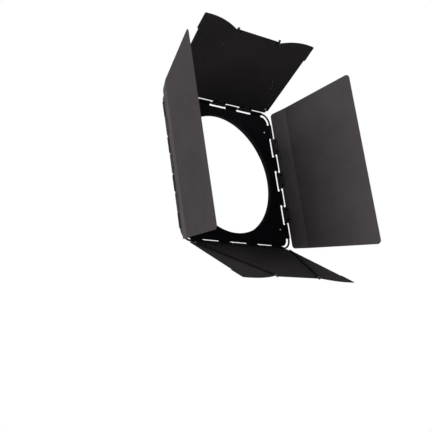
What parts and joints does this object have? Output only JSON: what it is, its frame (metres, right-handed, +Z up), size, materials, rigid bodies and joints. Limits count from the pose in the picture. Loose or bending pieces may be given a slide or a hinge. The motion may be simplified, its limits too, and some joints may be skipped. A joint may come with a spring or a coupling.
{
  "type": "barn door attachment",
  "caption": "Square hinge plate on a round mounting ring, with hinged sheet leaves on a wire loop and folding flaps, to shape the beam of a stage lamp.",
  "frame": {"origin": "centre of the mounting ring's rear face, on the beam's axis", "axes": "+Y points back into the lamp, so the beam leaves along -Y; +Z is up; +X is on the right seen from the front"},
  "size_m": [0.6531, 0.2897, 0.7406],
  "materials": {
    "leaf_paint": "matt",
    "plate_paint": "matt",
    "ring_paint": "satin",
    "black_steel": "satin",
    "rivet_metal": "satin"
  },
  "bodies": {
    "ring_body": {"mounting_ring": "ring_paint"},
    "plate_body": {"base_plate": "plate_paint", "hinge_wire": "black_steel", "ring_clip_upper_right": "black_steel", "ring_clip_rivet_upper_right": "rivet_metal", "ring_clip_upper_left": "black_steel", "ring_clip_rivet_upper_left": "rivet_metal", "ring_clip_lower_left": "black_steel", "ring_clip_rivet_lower_left": "rivet_metal", "ring_clip_lower_right": "black_steel", "ring_clip_rivet_lower_right": "rivet_metal"},
    "top_leaf_body": {"top_leaf": "leaf_paint", "top_leaf_hinge_clip_1": "leaf_paint", "top_leaf_hinge_clip_2": "leaf_paint", "top_leaf_hinge_clip_3": "leaf_paint", "top_right_flap_rod": "black_steel", "top_right_rod_rivet": "rivet_metal", "top_right_rod_eye": "black_steel", "top_right_eye_rivet": "black_steel", "top_right_rod_nut": "black_steel", "top_left_flap_rod": "black_steel", "top_left_rod_rivet": "rivet_metal", "top_left_rod_eye": "black_steel", "top_left_eye_rivet": "black_steel", "top_left_rod_nut": "black_steel"},
    "bottom_leaf_body": {"bottom_leaf": "leaf_paint", "bottom_leaf_hinge_clip_1": "leaf_paint", "bottom_leaf_hinge_clip_2": "leaf_paint", "bottom_leaf_hinge_clip_3": "leaf_paint", "bottom_right_flap_rod": "black_steel", "bottom_right_rod_rivet": "rivet_metal", "bottom_right_rod_eye": "black_steel", "bottom_right_eye_rivet": "black_steel", "bottom_right_rod_nut": "black_steel", "bottom_left_flap_rod": "black_steel", "bottom_left_rod_rivet": "rivet_metal", "bottom_left_rod_eye": "black_steel", "bottom_left_eye_rivet": "black_steel", "bottom_left_rod_nut": "black_steel"},
    "left_leaf_body": {"left_leaf": "leaf_paint", "left_leaf_hinge_clip_1": "leaf_paint", "left_leaf_hinge_clip_2": "leaf_paint", "left_leaf_hinge_clip_3": "leaf_paint"},
    "right_leaf_body": {"right_leaf": "leaf_paint", "right_leaf_hinge_clip_1": "leaf_paint", "right_leaf_hinge_clip_2": "leaf_paint", "right_leaf_hinge_clip_3": "leaf_paint"},
    "top_right_flap_body": {"top_right_flap": "leaf_paint"},
    "top_left_flap_body": {"top_left_flap": "leaf_paint"},
    "bottom_right_flap_body": {"bottom_right_flap": "leaf_paint"},
    "bottom_left_flap_body": {"bottom_left_flap": "leaf_paint"}
  },
  "joints": [
    {"name": "plate_turn", "type": "hinge", "parent": "ring_body", "child": "plate_body", "pos_m": [0, -0.02005, 0], "axis": [0, 1, 0], "continuous": true},
    {"name": "top_leaf_hinge", "type": "hinge", "parent": "plate_body", "child": "top_leaf_body", "pos_m": [0, -0.02005, 0.22], "axis": [1, 0, 0], "range_deg": [-72, 114]},
    {"name": "bottom_leaf_hinge", "type": "hinge", "parent": "plate_body", "child": "bottom_leaf_body", "pos_m": [0, -0.02005, -0.22], "axis": [1, 0, 0], "range_deg": [-112, 68]},
    {"name": "left_leaf_hinge", "type": "hinge", "parent": "plate_body", "child": "left_leaf_body", "pos_m": [-0.22, -0.02005, 0], "axis": [0, 0, 1], "range_deg": [-74, 90]},
    {"name": "right_leaf_hinge", "type": "hinge", "parent": "plate_body", "child": "right_leaf_body", "pos_m": [0.22, -0.02005, 0], "axis": [0, 0, 1], "range_deg": [-84, 80]},
    {"name": "top_right_flap_hinge", "type": "hinge", "parent": "top_leaf_body", "child": "top_right_flap_body", "pos_m": [0.203, -0.02716, 0.22743], "axis": [-0.4434, -0.7534, 0.4855], "range_deg": [0, 177]},
    {"name": "top_left_flap_hinge", "type": "hinge", "parent": "top_leaf_body", "child": "top_left_flap_body", "pos_m": [-0.203, -0.02716, 0.22743], "axis": [-0.4434, 0.7534, -0.4855], "range_deg": [0, 179]},
    {"name": "bottom_left_flap_hinge", "type": "hinge", "parent": "bottom_leaf_body", "child": "bottom_left_flap_body", "pos_m": [-0.203, -0.02952, -0.22402], "axis": [0.4434, -0.7205, -0.5332], "range_deg": [-179, 0]},
    {"name": "bottom_right_flap_hinge", "type": "hinge", "parent": "bottom_leaf_body", "child": "bottom_right_flap_body", "pos_m": [0.203, -0.02952, -0.22402], "axis": [0.4434, 0.7205, 0.5332], "range_deg": [-177, 0]}
  ]
}
